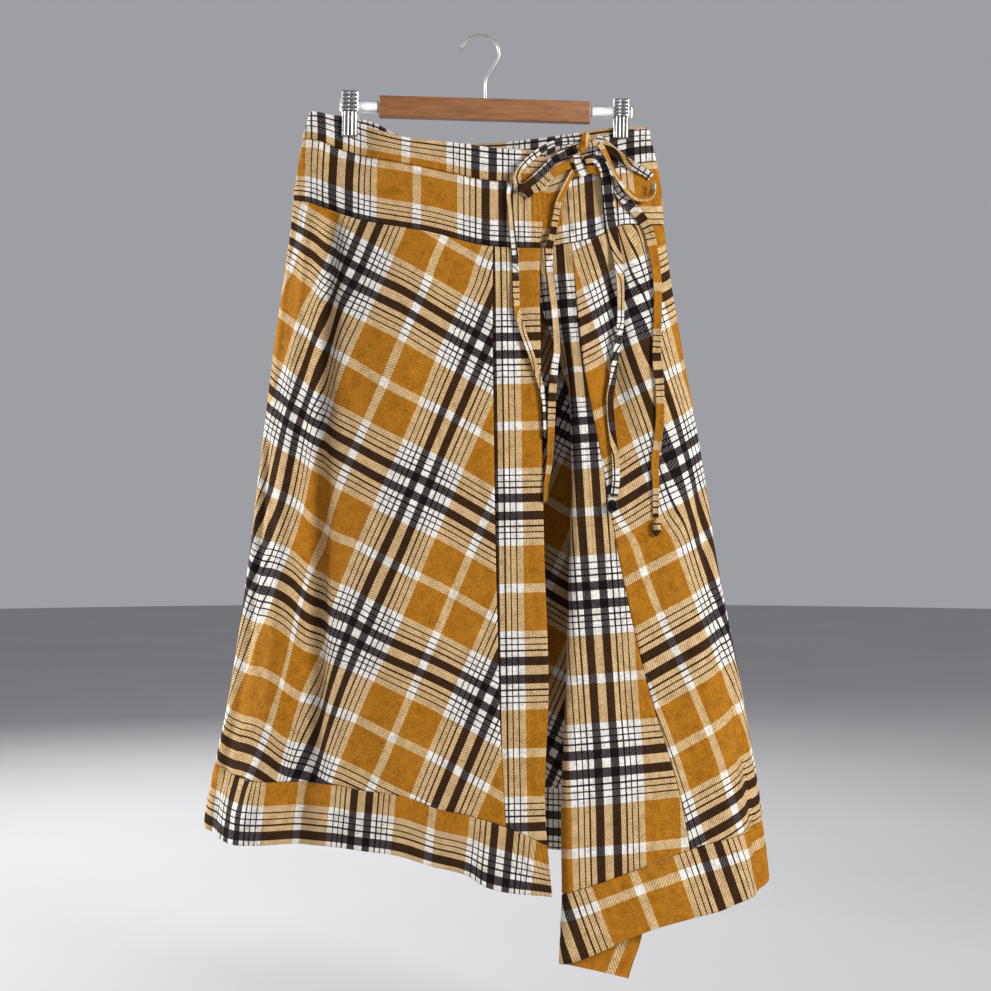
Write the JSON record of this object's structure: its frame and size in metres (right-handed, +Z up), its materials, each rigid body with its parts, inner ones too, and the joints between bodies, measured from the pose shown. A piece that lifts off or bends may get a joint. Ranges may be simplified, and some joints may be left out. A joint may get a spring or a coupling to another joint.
{
  "type": "wrap skirt on a clip hanger",
  "caption": "Long asymmetric plaid wrap skirt with yoke, deep hem bands and a side bow of fabric ties, hung by its waist from a wooden clip hanger",
  "frame": {"origin": "inside top of the hanger's hook, where a rail carries it", "axes": "+Z up along the hanging skirt, -Y towards the viewer of its front, +X to the viewer's right"},
  "size_m": [0.6212, 0.1676, 1.0247],
  "materials": {
    "plaid_cloth": "brushed woven twill check, matt with a slight nap",
    "tie_cloth": "the same twill folded into narrow straps",
    "bar_wood": "satin lacquer, reddish brown",
    "hook_wire": "polished",
    "pressed_metal": "bright plated pressed steel"
  },
  "bodies": {
    "root": {"waistband_front_left": "plaid_cloth", "waistband_back": "plaid_cloth", "waistband_front_right": "plaid_cloth", "yoke_front_left": "plaid_cloth", "yoke_back": "plaid_cloth", "yoke_front_right": "plaid_cloth", "placket_left": "plaid_cloth", "panel_front_left": "plaid_cloth", "panel_back_left": "plaid_cloth", "panel_back_right": "plaid_cloth", "panel_front_right": "plaid_cloth", "gore_front_right": "plaid_cloth", "hem_front_left": "plaid_cloth", "hem_back": "plaid_cloth", "hem_front_right": "plaid_cloth", "tie_left_loop_upper": "tie_cloth", "tie_left_loop_middle": "tie_cloth", "tie_left_loop_lower": "tie_cloth", "tie_right_loop_outer": "tie_cloth", "tie_right_loop_inner": "tie_cloth", "tie_tail_a": "tie_cloth", "tie_tail_b": "tie_cloth", "tie_tail_c": "tie_cloth", "tie_tail_d": "tie_cloth", "tie_knot_end": "tie_cloth", "tie_bow_knot": "tie_cloth", "tie_end_knot_c": "tie_cloth", "tie_end_knot_d": "tie_cloth", "bar": "bar_wood", "hook": "hook_wire", "rail_left": "pressed_metal", "rail_right": "pressed_metal", "clip_left_front": "pressed_metal", "clip_left_back": "pressed_metal", "clip_right_front": "pressed_metal", "clip_right_back": "pressed_metal"}
  },
  "joints": []
}
